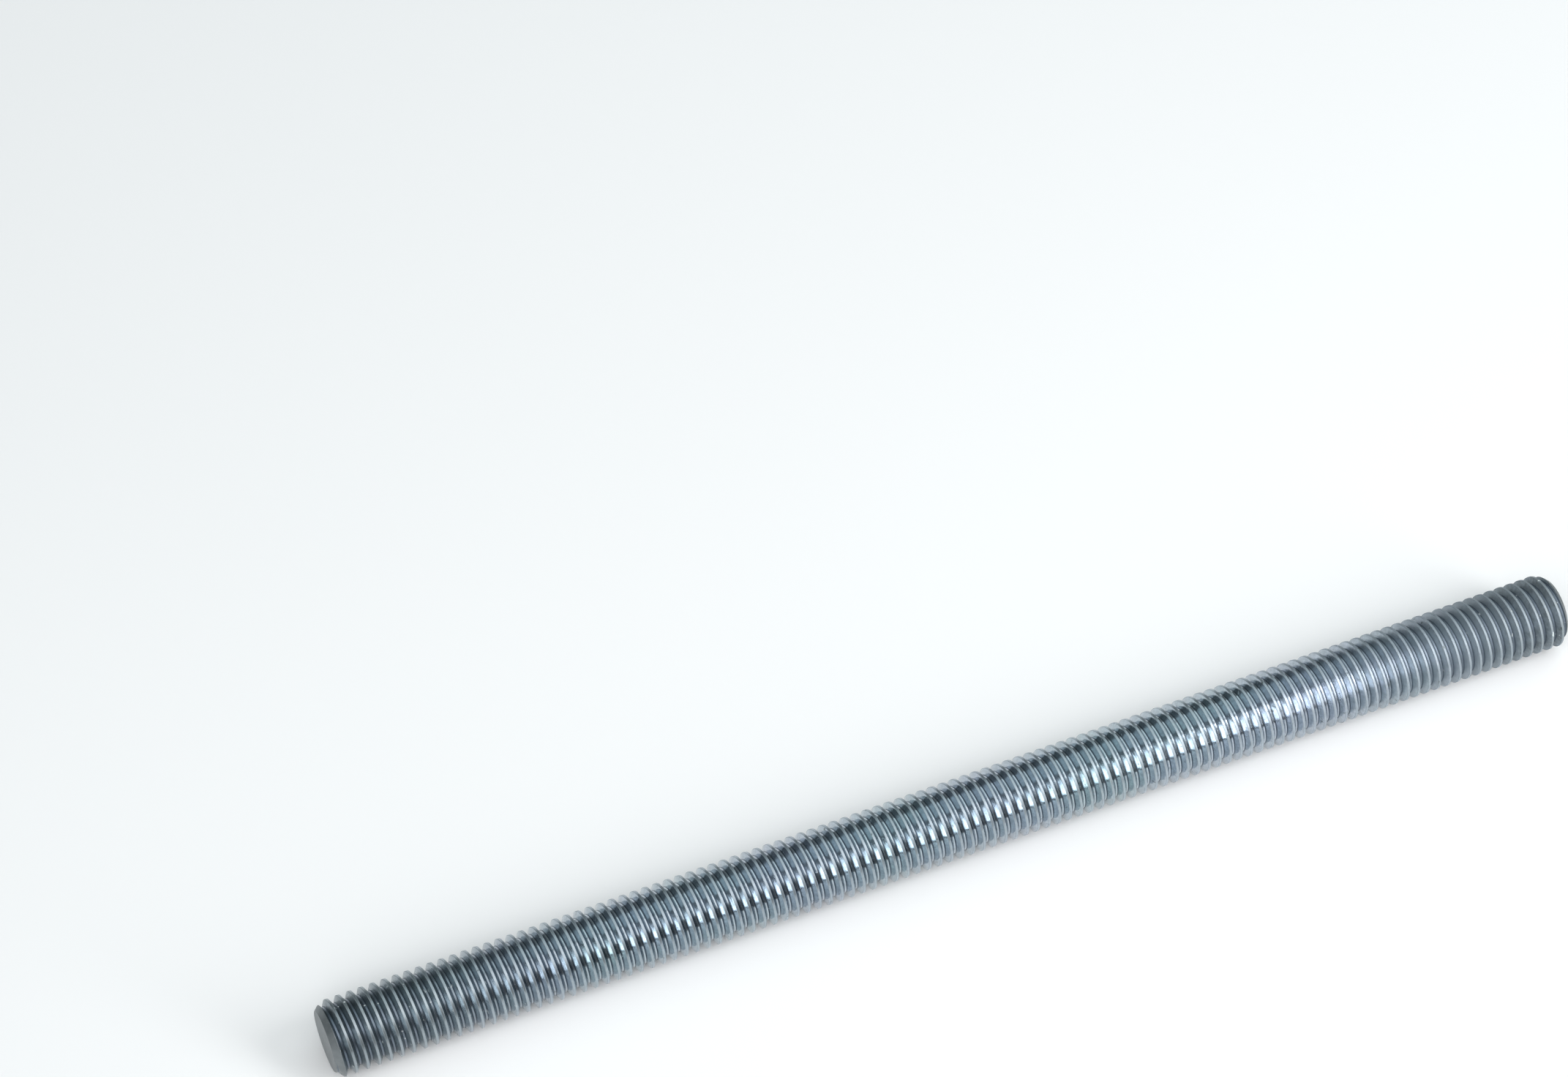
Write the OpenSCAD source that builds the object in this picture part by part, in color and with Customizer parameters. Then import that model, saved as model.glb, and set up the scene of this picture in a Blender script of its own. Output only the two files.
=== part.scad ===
// Threaded rod: one steel bar with a right-hand metric thread rolled over its whole
// length and a plain chamfer on both ends. It lies along X as it would on a table:
// the origin is under the middle of the rod, on the plane that the rod rests on.
// All sizes are in millimetres.

/* [Rod] */
// Length of the rod over both end faces
rod_length = 170; // [40:5:180]

/* [Thread] */
// Nominal diameter of the thread
nominal_d = 10; // [9:0.5:12]
// Advance of the thread in one turn
pitch = 1.5; // [1.25:0.05:1.75]
// Angle between the two flanks of the groove
flank_angle = 60; // [55:1:62]
// How far the rolled crests stay under the nominal radius
crest_allowance = 0.1; // [0.02:0.01:0.13]
// Depth of the groove under the nominal radius, in pitches
depth_in_pitches = 0.61343; // [0.54:0.00001:0.62]
// Where round the rod the groove meets the left end
start_angle = 160; // [0:5:355]

/* [Ends] */
// Length of the chamfer on each end
chamfer_length = 1; // [0.5:0.05:2]
// Slope of the chamfer against the axis
chamfer_angle = 43; // [30:1:50]

/* [Detail] */
// Facets of the groove in one turn, where a fraction staggers them from turn to turn
steps_per_turn = 12.5; // [10:0.5:13]

/* [Hidden] */
$fn = 96;

// Crests and roots, as radii
nominal_r = nominal_d / 2;
crest_r = nominal_r - crest_allowance;
root_r = nominal_r - depth_in_pitches * pitch;
face_r = crest_r - chamfer_length * tan(chamfer_angle);

// At the nominal radius the metric profile leaves a crest of an eighth of the pitch,
// and the groove takes the rest. Its mouth is closed just before two turns meet.
crest_share = 1 / 8;
mouth_share = 0.97;
mouth_width = mouth_share * pitch;
mouth_r = nominal_r + (mouth_share - 1 + crest_share) * pitch / (2 * tan(flank_angle / 2));
root_width = (1 - crest_share) * pitch - 2 * (nominal_r - root_r) * tan(flank_angle / 2);

// A chord runs inside its arc, so the facets are moved out by half of that gap
step_angle = 360 / steps_per_turn;
chord_gain = 2 / (1 + cos(step_angle / 2));

// The groove starts and ends one pitch outside the rod
first_x = -rod_length / 2 - pitch;
step_count = ceil((rod_length + 2 * pitch) / pitch * steps_per_turn);

// One section of the groove, in the plane through the axis at this step's angle
function groove_section(step) =
    let (x = first_x + step / steps_per_turn * pitch, turn = start_angle + step * step_angle)
    [for (corner = [[-mouth_width / 2, mouth_r], [mouth_width / 2, mouth_r],
                    [root_width / 2, root_r], [-root_width / 2, root_r]])
        let (radius = corner[1] * chord_gain)
        [x + corner[0], radius * cos(turn), radius * sin(turn)]];

// The groove as one solid: its sections joined by triangles and closed at both ends
module groove() {
    corners = 4;
    last = step_count * corners;
    points = [for (step = [0:step_count]) each groove_section(step)];
    sides = [for (step = [0:step_count - 1], corner = [0:corners - 1])
        let (a = step * corners + corner, b = step * corners + (corner + 1) % corners)
        each [[a, b, b + corners], [a, b + corners, a + corners]]];
    first_end = [for (corner = [corners - 1:-1:0]) corner];
    last_end = [for (corner = [0:corners - 1]) last + corner];
    polyhedron(points, concat(sides, [first_end, last_end]));
}

// The bar before the thread is rolled: its profile turned about the axis
module blank() {
    half = rod_length / 2;
    rotate([0, 90, 0]) rotate_extrude()
        polygon([[0, -half], [face_r, -half], [crest_r, -half + chamfer_length],
                 [crest_r, half - chamfer_length], [face_r, half], [0, half]]);
}

module threaded_rod() {
    color("silver") translate([0, 0, crest_r]) difference() {
        blank();
        groove();
    }
}

threaded_rod();
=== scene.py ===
# %% [markdown]
# # A zinc plated threaded rod
#
# The rod is one piece of steel: a bar whose thread was rolled between two dies, cut to length,
# chamfered, and plated with bright zinc. The frame holds its construction. This lesson gives it
# the surface that the eye meets: a smooth helical thread, and the plating that mirrors the studio.

# %% Load the frame
import math

import bpy
import numpy as np
from mathutils import Euler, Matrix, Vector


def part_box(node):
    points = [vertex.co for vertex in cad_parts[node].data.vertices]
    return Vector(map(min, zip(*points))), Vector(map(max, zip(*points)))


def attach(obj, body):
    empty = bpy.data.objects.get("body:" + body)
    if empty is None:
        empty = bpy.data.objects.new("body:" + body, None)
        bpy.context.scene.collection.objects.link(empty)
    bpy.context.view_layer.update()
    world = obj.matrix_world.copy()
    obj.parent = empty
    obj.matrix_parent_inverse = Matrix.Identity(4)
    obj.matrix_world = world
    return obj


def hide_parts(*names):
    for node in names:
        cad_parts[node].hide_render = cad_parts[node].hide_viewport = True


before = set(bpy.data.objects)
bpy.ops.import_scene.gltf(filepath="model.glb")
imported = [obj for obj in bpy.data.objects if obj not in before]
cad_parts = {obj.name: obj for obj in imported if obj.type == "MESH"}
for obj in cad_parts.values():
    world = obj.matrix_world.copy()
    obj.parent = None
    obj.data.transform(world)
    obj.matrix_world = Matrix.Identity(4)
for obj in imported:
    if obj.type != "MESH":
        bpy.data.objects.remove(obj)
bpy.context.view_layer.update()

MM = 0.001
low, high = (np.array(corner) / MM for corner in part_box("threaded_rod"))
print("the rod in the frame measures", np.round(high - low, 3), "mm")

# %% [markdown]
# ## The thread's sizes
#
# A metric thread is settled by its diameter and its pitch. The length and the crest radius come
# from the frame, so this surface can't drift away from the construction. The rest is what any
# thread table gives: 60 degrees between the flanks, the depth, and a crest that would be an eighth
# of the pitch wide at the nominal radius. The chamfer was read off the rod's end.

# %% Sizes in millimetres
LENGTH = high[0] - low[0]
CREST_R = (high[2] - low[2]) / 2
AXIS_Z = (high[2] + low[2]) / 2
PITCH = 1.5
NOMINAL_R = 5.0
DEPTH_IN_PITCHES = 0.61343
GROOVE_SHARE = 7 / 8
FLANK_ANGLE = 60
CHAMFER = 1.0
CHAMFER_ANGLE = 43
START_ANGLE = 160

HALF = LENGTH / 2
ROOT_R = NOMINAL_R - DEPTH_IN_PITCHES * PITCH
FLANK_SLOPE = 1 / math.tan(math.radians(FLANK_ANGLE / 2))
ROOT_HALF = (GROOVE_SHARE * PITCH) / 2 - (NOMINAL_R - ROOT_R) / FLANK_SLOPE
CHAMFER_SLOPE = math.tan(math.radians(CHAMFER_ANGLE))
FACE_R = CREST_R - CHAMFER * CHAMFER_SLOPE
START_TURN = START_ANGLE / 360
print("turns over the length:", round(LENGTH / PITCH, 2), "and root radius:", round(ROOT_R, 3))

# %% [markdown]
# ## The shape as one formula
#
# At each place along the rod and each angle round it the thread has one radius. The phase says
# where a point lies between two grooves: it grows by one for each pitch along the rod and falls
# by one for each turn round it. The radius depends on nothing but the phase, and near the ends
# the chamfer's cone cuts it down. The profile could also be drawn and swept with a screw modifier,
# but a sweep can't follow a cone, and a formula also gives the exact direction of the surface.
#
# Crest and root meet the flanks in crisp corners on this rod. A rounding of a thousandth of a
# millimetre keeps the formula smooth there, and the chamfer's rim is a little softer.

# %% Radius of the surface
THREAD_ROUND = 0.001
CHAMFER_ROUND = 0.05


def soft_min(a, b, rounding):
    """The smaller of two values with its corner rounded: half of their sum less the square root
    of their squared gap plus the squared rounding."""
    return (a + b - np.sqrt((a - b) ** 2 + rounding ** 2)) / 2


def thread_radius(phase):
    """A V with straight flanks: the root radius plus the slope times the distance from the
    groove's middle, never under the root and never over the crest."""
    across = np.abs((phase + 0.5) % 1 - 0.5) * PITCH
    flank = ROOT_R + (across - ROOT_HALF) * FLANK_SLOPE
    above_root = -soft_min(-flank, -ROOT_R, THREAD_ROUND)
    return soft_min(above_root, CREST_R, THREAD_ROUND)


def rod_radius(x, turn):
    """The thread's radius, but never over the cone that falls from crest to end face."""
    phase = (x + HALF) / PITCH + 1 - (turn - START_TURN)
    cone = FACE_R + (HALF - np.abs(x)) * CHAMFER_SLOPE
    return soft_min(thread_radius(phase), cone, CHAMFER_ROUND)


def on_rod(x, turn):
    """A point of the surface: x along the axis, and the radius turned by the angle round it."""
    angle = 2 * math.pi * turn
    radius = rod_radius(x, turn)
    return np.stack([x, radius * np.cos(angle), AXIS_Z + radius * np.sin(angle)], -1)


print("radius at a crest and at a root:", thread_radius(np.array([0.5, 0.0])).round(3))

# %% [markdown]
# ## A grid that follows the helix
#
# Rows that ran straight round the rod would cut across the crests and leave them ragged. So each
# row follows the helix: it starts at its own phase and climbs one pitch in a turn, to where the
# row of the next pitch started. Crests, roots and flanks are straight across, so they need rows
# only where the profile bends. The root's edge lies at a phase of 0.083 and the crest's edge at
# 0.399. Each has one row on either side of it, close by, which keeps the shading of the corner
# from spreading over the flank. Towards both ends the rows are pushed onto a true circle, where a
# short stretch of straight rings takes over.

# %% Three stretches of the grid
AROUND = 88
HALF_PHASES = np.array([0.081, 0.085, 0.397, 0.401])
PHASES = np.concatenate([HALF_PHASES, 1 - HALF_PHASES[::-1]])
STRETCH = PITCH
FACE_RINGS = np.array([0, 0.25, 0.5, 0.75, 0.93, 0.985])
ROW_TURNS = np.arange(AROUND + 1) / AROUND


def table_on_rod(x):
    """The points of a table of rows, where each row goes once round the rod."""
    return on_rod(x, np.broadcast_to(ROW_TURNS, x.shape))


def helix_stretch():
    """Row by row, x is the pitch times the row's phase plus the turn, held between circles."""
    whole = np.arange(-1, math.ceil(LENGTH / PITCH) + 2)
    row_phase = (whole[:, None] + PHASES).ravel()
    x = (row_phase[:, None] - 1 + ROW_TURNS - START_TURN) * PITCH - HALF
    return table_on_rod(np.clip(x, -HALF + STRETCH, HALF - STRETCH))


def end_stretch(side):
    """Straight rings from the circle to the end, then flat rings down to the face's middle."""
    x = side * (HALF - np.linspace(STRETCH, 0, AROUND + 1))[:, None] + 0 * ROW_TURNS
    rings = table_on_rod(x)
    centre = np.array([side * HALF, 0, AXIS_Z])
    face = centre + (rings[-1] - centre) * FACE_RINGS[::-1, None, None]
    rows = np.concatenate([rings, face])
    return rows if side > 0 else rows[::-1]


stretches = [end_stretch(-1), helix_stretch(), end_stretch(1)]
print("rows in each stretch:", [rows.shape[0] for rows in stretches])

# %% [markdown]
# ## From the grid to a closed skin
#
# Each stretch is a plain table of points, so some points come twice: where a row meets the row
# one pitch on, where rows were pushed together, and where two stretches touch. Points at the same
# place are made one, and triangles that lost their area that way are dropped. In a closed skin
# each edge then belongs to exactly two triangles, and the cell counts them to be sure.

# %% Join the stretches
SAME_PLACE = 1e-5


def cell_triangles(rows, columns, first):
    """Two triangles for each cell of a table of points, split from its first corner."""
    number = first + np.arange(rows * columns).reshape(rows, columns)
    a, b, c, d = number[:-1, :-1], number[:-1, 1:], number[1:, 1:], number[1:, :-1]
    both = np.stack([a, b, c, a, c, d], -1)
    return both.reshape(-1, 3)


def closed_skin(tables):
    """Joins the tables: rounds each point to a place, keeps each place once, and renumbers."""
    points = np.concatenate([table.reshape(-1, 3) for table in tables])
    starts = np.cumsum([0] + [table.shape[0] * table.shape[1] for table in tables])
    triangles = np.concatenate([cell_triangles(*table.shape[:2], start)
                                for table, start in zip(tables, starts)])
    places = np.round(points / SAME_PLACE).astype(np.int64)
    _, kept, number = np.unique(places, axis=0, return_index=True, return_inverse=True)
    a, b, c = number.ravel()[triangles].T
    whole = (a != b) & (b != c) & (c != a)
    return points[kept], np.stack([a, b, c], -1)[whole]


def open_edges(triangles):
    """How many edges don't belong to exactly two triangles."""
    sides = [triangles[:, pair] for pair in ([0, 1], [1, 2], [2, 0])]
    _, uses = np.unique(np.sort(np.concatenate(sides)), axis=0, return_counts=True)
    return int((uses != 2).sum())


points, triangles = closed_skin(stretches)
print("points:", len(points), "triangles:", len(triangles), "open edges:", open_edges(triangles))

# %% [markdown]
# ## Normals from the formula
#
# Plating mirrors its surroundings, so the eye sees the direction of the surface more than its
# place. Blender can average the directions of the triangles round a point, but that bends the
# flat flanks near their corners. The formula knows better: two short steps over the surface, one
# along the rod and one round it, span the tangent plane, and their cross product is the normal.

# %% Make the piece
STEP = 0.001
FLAT_SHARE = 0.995


def formula_normals(points):
    """The cross product of a step round the rod and a step along it, or the axis on a face."""
    x = points[:, 0]
    y, z = points[:, 1], points[:, 2] - AXIS_Z
    turn = np.arctan2(z, y) / (2 * math.pi)
    small_turn = STEP / (2 * math.pi * CREST_R)
    inside = np.clip(x, -HALF + STEP, HALF - STEP)
    along = on_rod(inside + STEP, turn) - on_rod(inside - STEP, turn)
    around = on_rod(inside, turn + small_turn) - on_rod(inside, turn - small_turn)
    normals = np.cross(around, along)
    flat = (np.abs(x) > HALF - SAME_PLACE) & (np.hypot(y, z) < FLAT_SHARE * FACE_R)
    normals[flat] = np.stack([np.sign(x), 0 * x, 0 * x], -1)[flat]
    return normals / np.linalg.norm(normals, axis=1, keepdims=True)


def make_piece(name, points, triangles, normals):
    """A mesh object from arrays in millimetres, smooth shaded with the given normals."""
    mesh = bpy.data.meshes.new(name)
    mesh.from_pydata(points * MM, [], triangles)
    mesh.shade_smooth()
    mesh.normals_split_custom_set_from_vertices(normals)
    piece = bpy.data.objects.new(name, mesh)
    bpy.context.scene.collection.objects.link(piece)
    return piece


rod = make_piece("rolled_rod", points, triangles, formula_normals(points))
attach(rod, "root")
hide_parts("threaded_rod")
print("made", rod.name, "with", len(rod.data.polygons), "triangles")

# %% [markdown]
# ## Places on the thread
#
# Rolling marks, stains and grime follow the thread, so the material needs to know where a point
# lies on it. That could be stored with each point of the mesh, but a mesh this lean has too few
# points to carry fine marks. So the nodes work it out from Object coordinates: the angle round the
# axis and the place along it give the phase, as in the radius formula. What is left after the
# whole turns are taken off says how far a point lies across the groove: 0 in the middle of the
# root and a half in the middle of a crest. The rest counts the turns along the thread.

# %% Helpers for nodes


def add(tree, kind, sockets=(), **settings):
    """Adds a shader node. Each socket takes a plain value or another node's output."""
    node = tree.nodes.new("ShaderNode" + kind)
    for name, value in settings.items():
        setattr(node, name, value)
    for name, value in dict(sockets).items():
        if isinstance(value, bpy.types.NodeSocket):
            tree.links.new(value, node.inputs[name])
        else:
            node.inputs[name].default_value = value
    return node


def maths(tree, operation, *values):
    """The output of a Math node for one to three values."""
    return add(tree, "Math", enumerate(values), operation=operation).outputs[0]


def object_place(tree):
    """The output of Object coordinates, which move with the object and not with the camera."""
    return add(tree, "TexCoord").outputs["Object"]


def split(tree, vector):
    """The outputs X, Y and Z of a vector."""
    return add(tree, "SeparateXYZ", {0: vector}).outputs


def new_group(name, inputs, *outputs):
    """A node group with number sockets only, and with what it is given and what it returns."""
    group = bpy.data.node_groups.new(name, "ShaderNodeTree")
    for socket, value in inputs.items():
        made = group.interface.new_socket(socket, in_out="INPUT", socket_type="NodeSocketFloat")
        made.default_value = value
    for socket in outputs:
        group.interface.new_socket(socket, in_out="OUTPUT", socket_type="NodeSocketFloat")
    given, result = group.nodes.new("NodeGroupInput"), group.nodes.new("NodeGroupOutput")
    return group, given.outputs, result.inputs


def place_group(tree, group, **values):
    """Puts a node group into a material with its own values, and gives its outputs."""
    node = tree.nodes.new("ShaderNodeGroup")
    node.node_tree = group
    for name, value in values.items():
        node.inputs[name.capitalize()].default_value = value
    return node.outputs


def thread_places():
    """Across: the phase less its whole turns, from -0.5 to 0.5. Along: turns along the thread."""
    group, given, result = new_group("thread places", {"Pitch": PITCH * MM}, "Across", "Along")
    spot = split(group, object_place(group))
    height = maths(group, "SUBTRACT", spot["Z"], AXIS_Z * MM)
    turn = maths(group, "DIVIDE", maths(group, "ARCTAN2", height, spot["Y"]), 2 * math.pi)
    climb = maths(group, "DIVIDE", spot["X"], given["Pitch"])
    first_phase = HALF / PITCH + 1 + START_TURN
    phase = maths(group, "ADD", maths(group, "SUBTRACT", climb, turn), first_phase)
    part_turn = maths(group, "FRACT", maths(group, "ADD", phase, 0.5))
    across = maths(group, "SUBTRACT", part_turn, 0.5)
    group.links.new(across, result["Across"])
    group.links.new(maths(group, "SUBTRACT", climb, across), result["Along"])
    return group


places_group = thread_places()
print("made the node group", places_group.name)

# %% [markdown]
# ## Marks, patches and specks
#
# Three effects are enough for this finish. Marks are noise that is fine across the groove and
# long along it, as the dies leave them. Patches are soft clouds. Specks are what is left of a fine
# noise above a limit, for nicks and for pale specks that are partly grit and partly painted glints.
# Each is a group that puts out one value from 0 to 1, so one group serves many sizes. A painted
# picture could hold such marks too, but it would have to be unrolled round the helix, and it would
# blur on a close look.

# %% Groups for the effects
CLOUD_DETAIL = 3
SPECK_DETAIL = 1
SPECK_CONTRAST = 25


def clamped(tree, value):
    """A value held between 0 and 1."""
    return add(tree, "Clamp", {"Value": value}).outputs[0]


def spread(tree, noise, sharp):
    """Noise pulled apart about its middle value, and held between 0 and 1."""
    from_middle = maths(tree, "SUBTRACT", noise, 0.5)
    return clamped(tree, maths(tree, "MULTIPLY_ADD", from_middle, sharp, 0.5))


def solid_noise(tree, given, detail):
    """Noise on Object coordinates. The shift turns it into another pattern of the same size."""
    sockets = {"Vector": object_place(tree), "Scale": given["Scale"], "Detail": detail,
               "W": given["Shift"]}
    return add(tree, "TexNoise", sockets, noise_dimensions="4D").outputs["Fac"]


def thread_marks():
    """Noise on the thread's own coordinates, stretched along the groove."""
    group, given, result = new_group("thread marks", {"Fine": 9, "Long": 1.2, "Sharp": 1}, "Value")
    here = place_group(group, places_group)
    across = maths(group, "MULTIPLY", here["Across"], given["Fine"])
    along = maths(group, "MULTIPLY", here["Along"], given["Long"])
    vector = add(group, "CombineXYZ", {"X": across, "Y": along}).outputs[0]
    noise = add(group, "TexNoise", {"Vector": vector, "Scale": 1, "Detail": CLOUD_DETAIL})
    group.links.new(spread(group, noise.outputs["Fac"], given["Sharp"]), result["Value"])
    return group


def soft_patches():
    """Noise on Object coordinates, spread about its middle value."""
    group, given, result = new_group("soft patches", {"Scale": 40, "Shift": 0, "Sharp": 1}, "Value")
    noise = solid_noise(group, given, CLOUD_DETAIL)
    group.links.new(spread(group, noise, given["Sharp"]), result["Value"])
    return group


def sparse_specks():
    """Fine noise, where only what passes the limit is left."""
    inputs = {"Scale": 1500, "Limit": 0.72, "Shift": 0}
    group, given, result = new_group("sparse specks", inputs, "Value")
    noise = solid_noise(group, given, SPECK_DETAIL)
    above = maths(group, "SUBTRACT", noise, given["Limit"])
    specks = clamped(group, maths(group, "MULTIPLY", above, SPECK_CONTRAST))
    group.links.new(specks, result["Value"])
    return group


marks_group, patches_group, specks_group = thread_marks(), soft_patches(), sparse_specks()
print("made the groups", marks_group.name, patches_group.name, specks_group.name)

# %% [markdown]
# ## Where each effect goes
#
# The plating isn't the same all over. It is dull and dark towards both ends, which is partly
# duller plating and partly painted shade. Crests are rubbed, the corners of the roots are
# darkened with painted shade, and the sawn ends are matt. A mask is a value from 0 to 1 that says
# where such an effect shows. Here it is a smooth step on one of three measures: the distance from
# the root's middle in pitches, the place along the rod, and the depth under the end's cone. So the
# masks follow the helix by themselves. Painting them would take a picture for each, and a picture
# can't be moved by changing one number. The spans that follow are in pitches first and then, from
# the first one along the rod on, in millimetres.

# %% Smooth steps on the thread and along the rod
CREST_RISE = (0.375, 0.40)
EDGE_RISE = (0.375, 0.388)
EDGE_FALL = (0.410, 0.425)
CORNER_RISE = (0.045, 0.07)
CORNER_FALL = (0.10, 0.15)
ROOT_FALL = (0.07, 0.11)
# Over LEFT_RISE and RIGHT_FALL the ends turn dark and dull: partly duller plating, partly painted
# shade.
LEFT_RISE = (-HALF - 4, -HALF + 42)
RIGHT_FALL = (HALF - 32, HALF + 2)
BLUR_RISE = (HALF - 50, HALF - 12)
CHAMFER_FALL = (0.03, 0.08)
FACE_FALL = (0.02, 0.05)


def ramp(tree, value, low_in, high_in, low_out=0.0, high_out=1.0):
    """A smooth step: low_out under low_in, high_out over high_in."""
    sockets = {"Value": value, "From Min": low_in, "From Max": high_in,
               "To Min": low_out, "To Max": high_out}
    return add(tree, "MapRange", sockets, interpolation_type="SMOOTHSTEP").outputs[0]


def rising(tree, value, span, unit=1):
    """A smooth step from 0 to 1 while the value crosses the span."""
    return ramp(tree, value, span[0] * unit, span[1] * unit)


def falling(tree, value, span, unit=1):
    """A smooth step from 1 to 0 while the value crosses the span."""
    return ramp(tree, value, span[0] * unit, span[1] * unit, 1, 0)


def thread_masks(tree):
    """The crests, their edges, the roots, and the corners between root and flank."""
    from_root = maths(tree, "ABSOLUTE", place_group(tree, places_group)["Across"])
    edge = maths(tree, "MULTIPLY", rising(tree, from_root, EDGE_RISE),
                 falling(tree, from_root, EDGE_FALL))
    corner = maths(tree, "MULTIPLY", rising(tree, from_root, CORNER_RISE),
                   falling(tree, from_root, CORNER_FALL))
    return {"crest": rising(tree, from_root, CREST_RISE), "edge": edge, "corner": corner,
            "root": falling(tree, from_root, ROOT_FALL)}


def length_masks(tree, x):
    """The bright middle, the ends that are dull partly as painted shade, and the blurred right
    part.
    """
    bright = maths(tree, "MULTIPLY", rising(tree, x, LEFT_RISE, MM),
                  falling(tree, x, RIGHT_FALL, MM))
    return {"bright": bright, "dull_ends": maths(tree, "SUBTRACT", 1, bright),
            "blurred": rising(tree, x, BLUR_RISE, MM)}


def face_masks(tree, spot):
    """The sawn end faces with their chamfers, and the bare thread between them."""
    from_end = maths(tree, "SUBTRACT", HALF * MM, maths(tree, "ABSOLUTE", spot["X"]))
    height = maths(tree, "SUBTRACT", spot["Z"], AXIS_Z * MM)
    beside = add(tree, "CombineXYZ", {"X": spot["Y"], "Y": height}).outputs[0]
    radius = add(tree, "VectorMath", {0: beside}, operation="LENGTH").outputs["Value"]
    cone = maths(tree, "MULTIPLY_ADD", from_end, CHAMFER_SLOPE, FACE_R * MM)
    chamfer = falling(tree, maths(tree, "SUBTRACT", cone, radius), CHAMFER_FALL, MM)
    face = maths(tree, "MAXIMUM", chamfer, falling(tree, from_end, FACE_FALL, MM))
    return {"face": face, "bare": maths(tree, "SUBTRACT", 1, face)}


print("the plating is fresh from x =", LEFT_RISE[1], "to", RIGHT_FALL[0], "mm")

# %% [markdown]
# ## The noises and masks together
#
# Seven noises carry all that is uneven on the rod, from slow drifts of the tint down to single
# specks. One could be made for each use, but real flaws go together: where a coat is grainy it is
# darker and less flat, and grit is both pale and rough. Its pale specks also stand in as painted
# glints. So colour, roughness and relief draw on the same noises, and the material picks them from
# one table by name.

# %% Noises by name
NOISES = {
    "drift": (patches_group, {"scale": 70, "shift": 4, "sharp": 3}),
    "patch": (patches_group, {"scale": 160, "sharp": 3}),
    "wave": (patches_group, {"scale": 800, "shift": 2, "sharp": 3}),
    "grain": (patches_group, {"scale": 2400, "sharp": 3}),
    "marks": (marks_group, {"fine": 13, "long": 1.1, "sharp": 2.5}),
    # Pale specks: partly grit, partly painted glints near the ends.
    "grit_and_glint": (specks_group, {"scale": 1400, "limit": 0.70}),
    "nick": (specks_group, {"scale": 1300, "limit": 0.73, "shift": 7}),
}


def noises_and_masks(tree):
    """Every noise and mask of the plating by its name, each as a node's output."""
    spot = split(tree, object_place(tree))
    on = {name: place_group(tree, group, **values)[0] for name, (group, values) in NOISES.items()}
    on.update(thread_masks(tree))
    on.update(length_masks(tree, spot["X"]))
    on.update(face_masks(tree, spot))
    on["rubbed"] = maths(tree, "MULTIPLY", on["crest"], on["bright"])
    return on


def summed(tree, start, on, shares):
    """The start value plus each named noise or mask times its share."""
    for name, share in shares.items():
        start = maths(tree, "MULTIPLY_ADD", on[name], share, start)
    return start


print("noises:", ", ".join(NOISES))

# %% [markdown]
# ## The colour of the plating
#
# Fresh zinc under a clear passivation is a bright metal with a blue cast that drifts to green and
# to violet. Towards both ends it is dull and dark, partly as duller plating and partly as painted
# shade. The crests were rubbed by the dies and are stained. The corners of the root, and the roots
# towards the ends, are darkened with painted shade. The ends were sawn and chamfered, and are grey.
#
# The colour is built in the order in which things came onto the steel: the metal first, then one
# coat over another, each let through by its mask. Mixing them all at once would need weights that
# add up. On the flanks light bounces twice or more before it leaves the groove, so what looks like
# a slight change of the metal's colour here is a strong one in the picture.

# %% Colours and coats
BRIGHT_BLUE = (0.54, 0.63, 0.70, 1)
GREENISH = (0.52, 0.65, 0.65, 1)
VIOLET = (0.57, 0.61, 0.71, 1)
# Dull dark colour at both ends: partly duller plating and partly painted shade.
DULL = (0.16, 0.18, 0.19, 1)
DULL_CREST = (0.32, 0.35, 0.36, 1)
STAIN = (0.33, 0.38, 0.42, 1)
# Painted shade for the corners between root and flank, and for the roots towards the ends.
PAINTED_ROOT_SHADE = (0.12, 0.15, 0.19, 1)
FACE_GREY = (0.25, 0.27, 0.28, 1)
# Pale colour of the specks, which are partly grit and partly painted glints.
GRIT_AND_GLINT = (0.80, 0.84, 0.84, 1)
NICK = (0.18, 0.21, 0.22, 1)
STAINED = {"marks": 0.5, "crest": 0.35}
GRAIN_STAIN = 0.55
WAVE_STAIN = 0.32
BLURRED_WAVE_STAIN = 0.45
# How strongly the painted root shade covers the colour.
PAINTED_SHADE_COVER = 0.8
FACE_CLOUDS = 0.5


def mixed(tree, factor, first, second):
    """The output of a colour Mix node, whose factor and colours are its inputs 0, 6 and 7."""
    return add(tree, "Mix", {0: factor, 6: first, 7: second}, data_type="RGBA").outputs[2]


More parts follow.
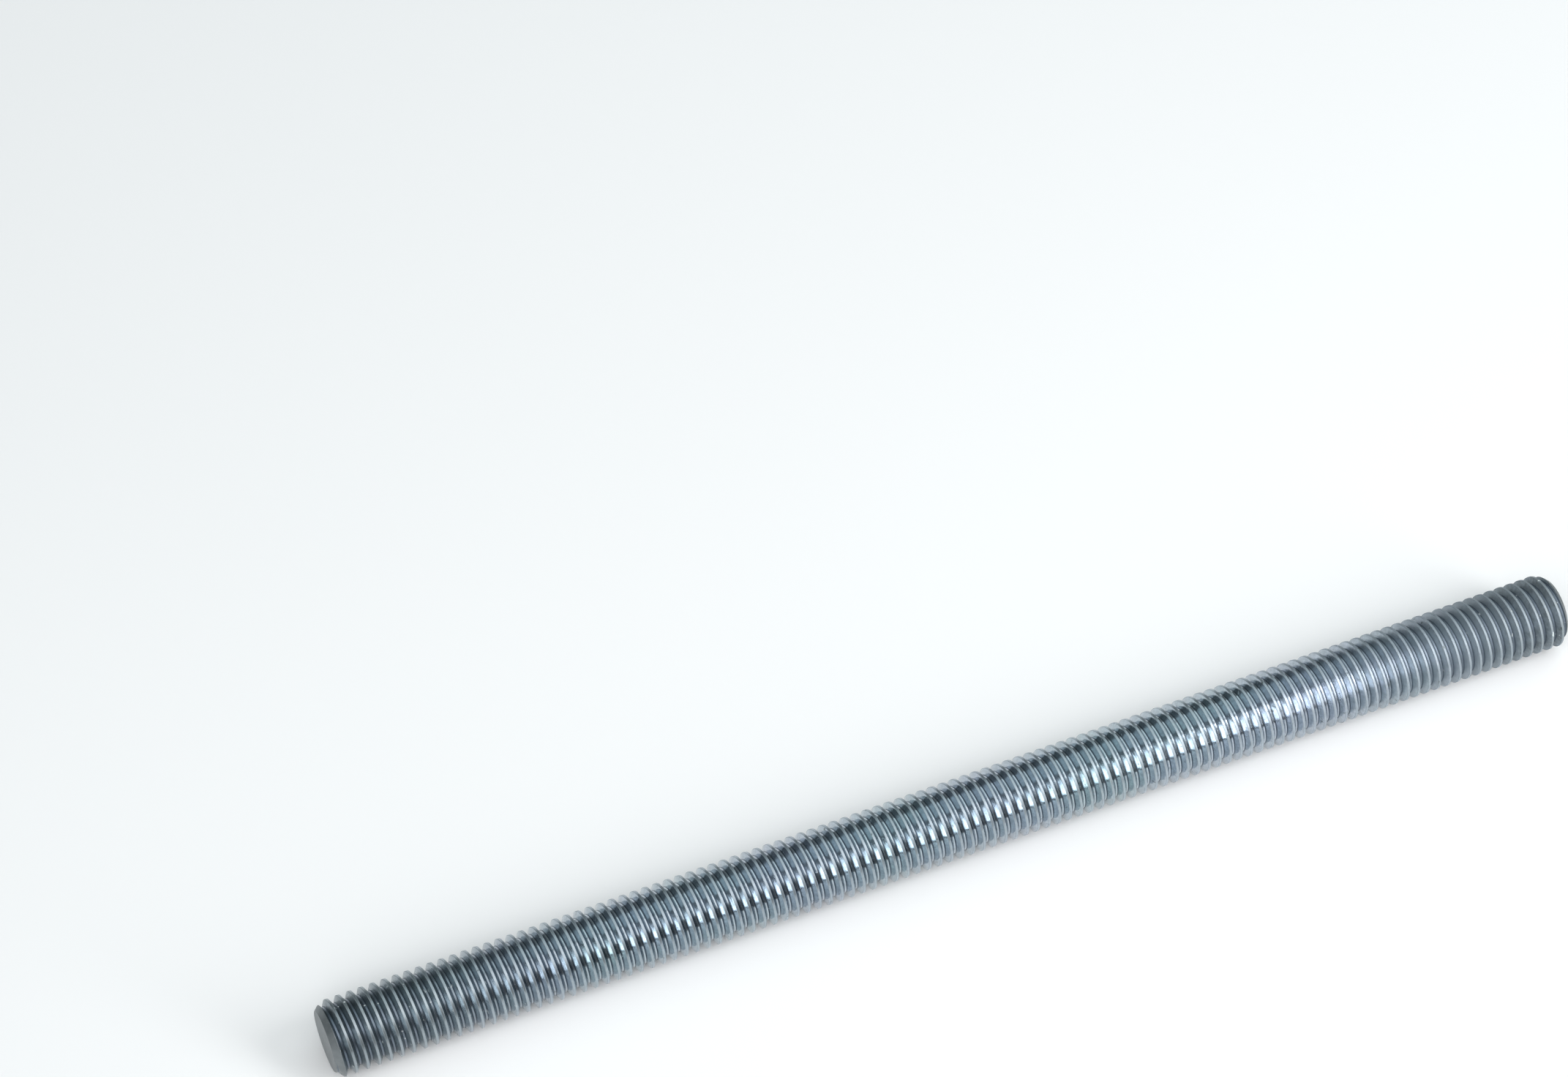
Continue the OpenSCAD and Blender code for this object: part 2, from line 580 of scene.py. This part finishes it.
def metal_colour(tree, on):
    """The metal's own colour, then stains, painted shade in the roots, nicks, pale specks that are
    partly grit and partly painted glints, and the sawn faces on top.
    """
    tint = mixed(tree, on["drift"], mixed(tree, on["patch"], BRIGHT_BLUE, GREENISH), VIOLET)
    # Towards both ends the colour falls to DULL: partly duller plating and partly painted shade.
    colour = mixed(tree, on["bright"], mixed(tree, on["crest"], DULL, DULL_CREST), tint)
    stained = maths(tree, "MULTIPLY", summed(tree, 0, on, STAINED), on["bright"])
    wave_stain = summed(tree, WAVE_STAIN, on, {"blurred": BLURRED_WAVE_STAIN})
    cloudy = summed(tree, 0, on, {"grain": GRAIN_STAIN, "wave": wave_stain})
    # Painted shade: the roots towards the ends and the corners between root and flank are darkened.
    shaded_root = maths(tree, "MULTIPLY", on["root"],
                       maths(tree, "MAXIMUM", on["dull_ends"], on["blurred"]))
    root_shade_share = maths(tree, "MULTIPLY", maths(tree, "MAXIMUM", on["corner"], shaded_root), PAINTED_SHADE_COVER)
    # Pale specks near the ends: partly grit and partly painted glints.
    grit_and_glint = maths(tree, "MULTIPLY", on["grit_and_glint"], on["dull_ends"])
    sawn = mixed(tree, maths(tree, "MULTIPLY", on["wave"], FACE_CLOUDS), FACE_GREY, DULL)
    coats = [(stained, STAIN), (cloudy, STAIN), (root_shade_share, PAINTED_ROOT_SHADE), (on["nick"], NICK), (grit_and_glint, GRIT_AND_GLINT),
             (on["face"], sawn)]
    for factor, coat in coats:
        colour = mixed(tree, factor, colour, coat)
    return colour


print("fresh metal:", BRIGHT_BLUE[:3], "and dull metal:", DULL[:3])

# %% [markdown]
# ## Roughness and relief
#
# What the plating mirrors is only as sharp as the plating is smooth. The flanks are smoothest,
# since nothing rubs them. Crests and their edges, the dull ends and grit blur the picture. A fine
# relief of grain, waves and rolling marks breaks it up as well. A bump is enough for it, because
# it is a few hundredths of a millimetre deep at most, which no outline could show. Both are kept
# off the end faces, where a helix has no meaning, and these get a matt finish and their own grain.

# %% Plate the rod
SMOOTH = 0.08
ROUGHER = {"marks": 0.10, "corner": 0.12, "edge": 0.3, "rubbed": 0.18, "blurred": 0.3, "dull_ends": 0.2,
           "grit_and_glint": 0.4}
FACE_ROUGH = 0.45
GRAIN_RELIEF = 0.8
BLURRED_GRAIN_RELIEF = 2
WAVE_RELIEF = 5
BLURRED_WAVE_RELIEF = 12
FACE_RELIEF = {"grain": 2}
BUMP_STRENGTH = 0.1
BUMP_DISTANCE = 0.01


def with_face(tree, on, thread_value, face_value):
    """The thread's value on the thread, and the face's value on the end faces and chamfers."""
    return maths(tree, "MULTIPLY_ADD", on["face"], face_value,
                 maths(tree, "MULTIPLY", thread_value, on["bare"]))


def relief(tree, on):
    """The height of the fine relief: marks, grain and waves, both higher in the blurred part."""
    grain = summed(tree, GRAIN_RELIEF, on, {"blurred": BLURRED_GRAIN_RELIEF})
    wave = summed(tree, WAVE_RELIEF, on, {"blurred": BLURRED_WAVE_RELIEF})
    height = summed(tree, on["marks"], on, {"grain": grain, "wave": wave})
    return with_face(tree, on, height, summed(tree, on["wave"], on, FACE_RELIEF))


def zinc_plating():
    """Metal with a drifting tint, dull ends, stains, rolling marks, nicks and matt end faces."""
    material = bpy.data.materials.new("zinc plating")
    material.use_nodes = True
    tree = material.node_tree
    shader = tree.nodes["Principled BSDF"]
    shader.inputs["Metallic"].default_value = 1
    on = noises_and_masks(tree)
    tree.links.new(metal_colour(tree, on), shader.inputs["Base Color"])
    rough = with_face(tree, on, summed(tree, SMOOTH, on, ROUGHER), FACE_ROUGH)
    tree.links.new(rough, shader.inputs["Roughness"])
    bump = add(tree, "Bump", {"Height": relief(tree, on), "Strength": BUMP_STRENGTH,
                              "Distance": BUMP_DISTANCE * MM})
    tree.links.new(bump.outputs[0], shader.inputs["Normal"])
    return material


plating = zinc_plating()
rod.data.materials.append(plating)
print("material:", plating.name, "with", len(plating.node_tree.nodes), "nodes")

# %% [markdown]
# ## The floor
#
# The rod lies on a plain pale floor with a dull finish. One large square is enough, because its
# edges lie far outside the picture. It does more than carry the shadow: about half of all that the
# rod can mirror is floor, so its brightness sets how bright the rod's lower side looks.

# %% Floor
FLOOR_SIZE = 4.0
FLOOR_GREY = (0.86, 0.86, 0.86, 1)
FLOOR_ROUGH = 0.6


def square_floor(size):
    """A square of the given size in metres, at the height of the rod's lowest line."""
    mesh = bpy.data.meshes.new("floor")
    half = size / 2
    corners = [(-half, -half, 0), (half, -half, 0), (half, half, 0), (-half, half, 0)]
    mesh.from_pydata(corners, [], [(0, 1, 2, 3)])
    pale = bpy.data.materials.new("pale floor")
    pale.use_nodes = True
    inputs = pale.node_tree.nodes["Principled BSDF"].inputs
    inputs["Base Color"].default_value = FLOOR_GREY
    inputs["Roughness"].default_value = FLOOR_ROUGH
    mesh.materials.append(pale)
    made = bpy.data.objects.new("floor", mesh)
    bpy.context.scene.collection.objects.link(made)
    return made


floor = square_floor(FLOOR_SIZE)
print("made", floor.name, "of", FLOOR_SIZE, "m")

# %% [markdown]
# ## The camera
#
# The camera looks down on the rod from the front left, with a long lens. Its two angles and its
# distance were found by matching three things: both ends of the rod, the slant of its axis, and
# how much thinner its far end looks. A camera placed by angles is easier to read and to change
# than one placed by three coordinates. The aim is a point on the floor behind the rod, which puts
# the rod low in the picture.

# %% Camera
LENS = 110
SENSOR = 36
AZIMUTH = -22.87
ELEVATION = 52.53
DISTANCE = 639.33 * MM
AIM = (-1.68 * MM, 53.07 * MM, 0)


def look_back(azimuth, elevation):
    """The direction from the aim to the camera, for two angles in degrees."""
    a, e = math.radians(azimuth), math.radians(elevation)
    return np.array([math.sin(a) * math.cos(e), -math.cos(a) * math.cos(e), math.sin(e)])


camera_data = bpy.data.cameras.new("camera")
camera_data.lens = LENS
camera_data.sensor_width = SENSOR
camera = bpy.data.objects.new("camera", camera_data)
camera.location = np.array(AIM) + DISTANCE * look_back(AZIMUTH, ELEVATION)
camera.rotation_euler = (math.radians(90 - ELEVATION), 0, math.radians(AZIMUTH))
bpy.context.scene.collection.objects.link(camera)
bpy.context.scene.camera = camera
print("camera at", [round(value, 4) for value in camera.location])

# %% [markdown]
# ## The sky
#
# A mirror shows its surroundings and nothing else, so lighting a plated thread means placing what
# it mirrors. Most of that is a dim sky, a little brighter overhead and in front, and cooler
# behind. A crest or a root sends the look on after one bounce, and a flank after two or three. A
# dark card in the sky stands where the crests and roots look, which keeps the gaps between the
# bright flanks dark. It is a dip in the sky and not a real card, so it throws no shadow. A
# photographed sky could replace all this, but it couldn't be steered.

# %% Sky with a dark card
SKY_LEVEL = 0.25
SKY_RISE = 0.12
SKY_LEAN = -0.07
FRONT_TINT = (0.90, 0.96, 1, 1)
BACK_TINT = (0.86, 0.98, 1, 1)
TINT_RISE = (-0.3, 0.6)
CARD_AZIMUTH = 13
CARD_ELEVATION = 20
CARD_RIM = 24
CARD_CORE = 14
CARD_LEVEL = 0.35


def dark_card(tree, towards):
    """The share of the sky's light that is left: 1 off the card, and least in its core."""
    card = look_back(CARD_AZIMUTH, CARD_ELEVATION)
    likeness = add(tree, "VectorMath", {0: towards, 1: card}, operation="DOT_PRODUCT")
    rim, core = (math.cos(math.radians(angle)) for angle in (CARD_RIM, CARD_CORE))
    return ramp(tree, likeness.outputs["Value"], rim, core, 1, CARD_LEVEL)


def studio_sky():
    """A world whose light rises with height, falls to the back and dips at the card."""
    world = bpy.data.worlds.new("studio")
    world.use_nodes = True
    tree = world.node_tree
    inputs = tree.nodes["Background"].inputs
    towards = add(tree, "TexCoord").outputs["Generated"]
    direction = split(tree, towards)
    level = maths(tree, "MULTIPLY_ADD", direction["Z"], SKY_RISE, SKY_LEVEL)
    level = maths(tree, "MULTIPLY_ADD", direction["Y"], SKY_LEAN, level)
    level = maths(tree, "MULTIPLY", level, dark_card(tree, towards))
    tree.links.new(level, inputs["Strength"])
    tint = mixed(tree, rising(tree, direction["Y"], TINT_RISE), FRONT_TINT, BACK_TINT)
    tree.links.new(tint, inputs["Color"])
    return world


bpy.context.scene.world = studio_sky()
print("sky:", bpy.context.scene.world.name)

# %% [markdown]
# ## The lights
#
# A flank sends the look on by way of the flank across the groove, so one lamp can be seen in the
# flanks alone. The window box stands where only the flanks see it, and gives each turn its own
# white dash. It is near and narrow, because the place that the flanks see shifts along the rod.
# Three large, weak boxes stand for a room: above, behind and beside. Point lamps would do for the
# shading, but a mirror would show them as specks.

# %% Lights
WHITE = (1, 1, 1, 1)


def soft_box(name, azimuth, elevation, distance, width, height, brightness, lean=0, tint=WHITE):
    """An area light that faces the rod's middle from two angles and a distance. Its power is
    its brightness times its area times pi."""
    light = bpy.data.lights.new(name, "AREA")
    light.shape = "RECTANGLE"
    light.size = width
    light.size_y = height
    light.energy = brightness * width * height * math.pi
    light.color = tint[:3]
    box = bpy.data.objects.new(name, light)
    box.location = look_back(azimuth, elevation) * distance
    facing = Euler((math.radians(90 - elevation), 0, math.radians(azimuth))).to_matrix()
    box.rotation_euler = (facing @ Euler((0, 0, math.radians(lean))).to_matrix()).to_euler()
    box.visible_camera = False
    bpy.context.scene.collection.objects.link(box)
    return box


boxes = [
    soft_box("window box", azimuth=44, elevation=34, distance=0.55, width=0.192, height=0.56,
             brightness=6.4, lean=-21),
    soft_box("top box", azimuth=-20, elevation=70, distance=0.9, width=0.8, height=0.8,
             brightness=1.05),
    soft_box("back box", azimuth=133, elevation=57, distance=0.9, width=0.8, height=0.8,
             brightness=0.75, tint=BACK_TINT),
    soft_box("side box", azimuth=-50, elevation=44, distance=1.1, width=0.9, height=0.9,
             brightness=2.0),
]
bpy.context.scene.view_settings.view_transform = "Standard"
print("lights:", [box.name for box in boxes])
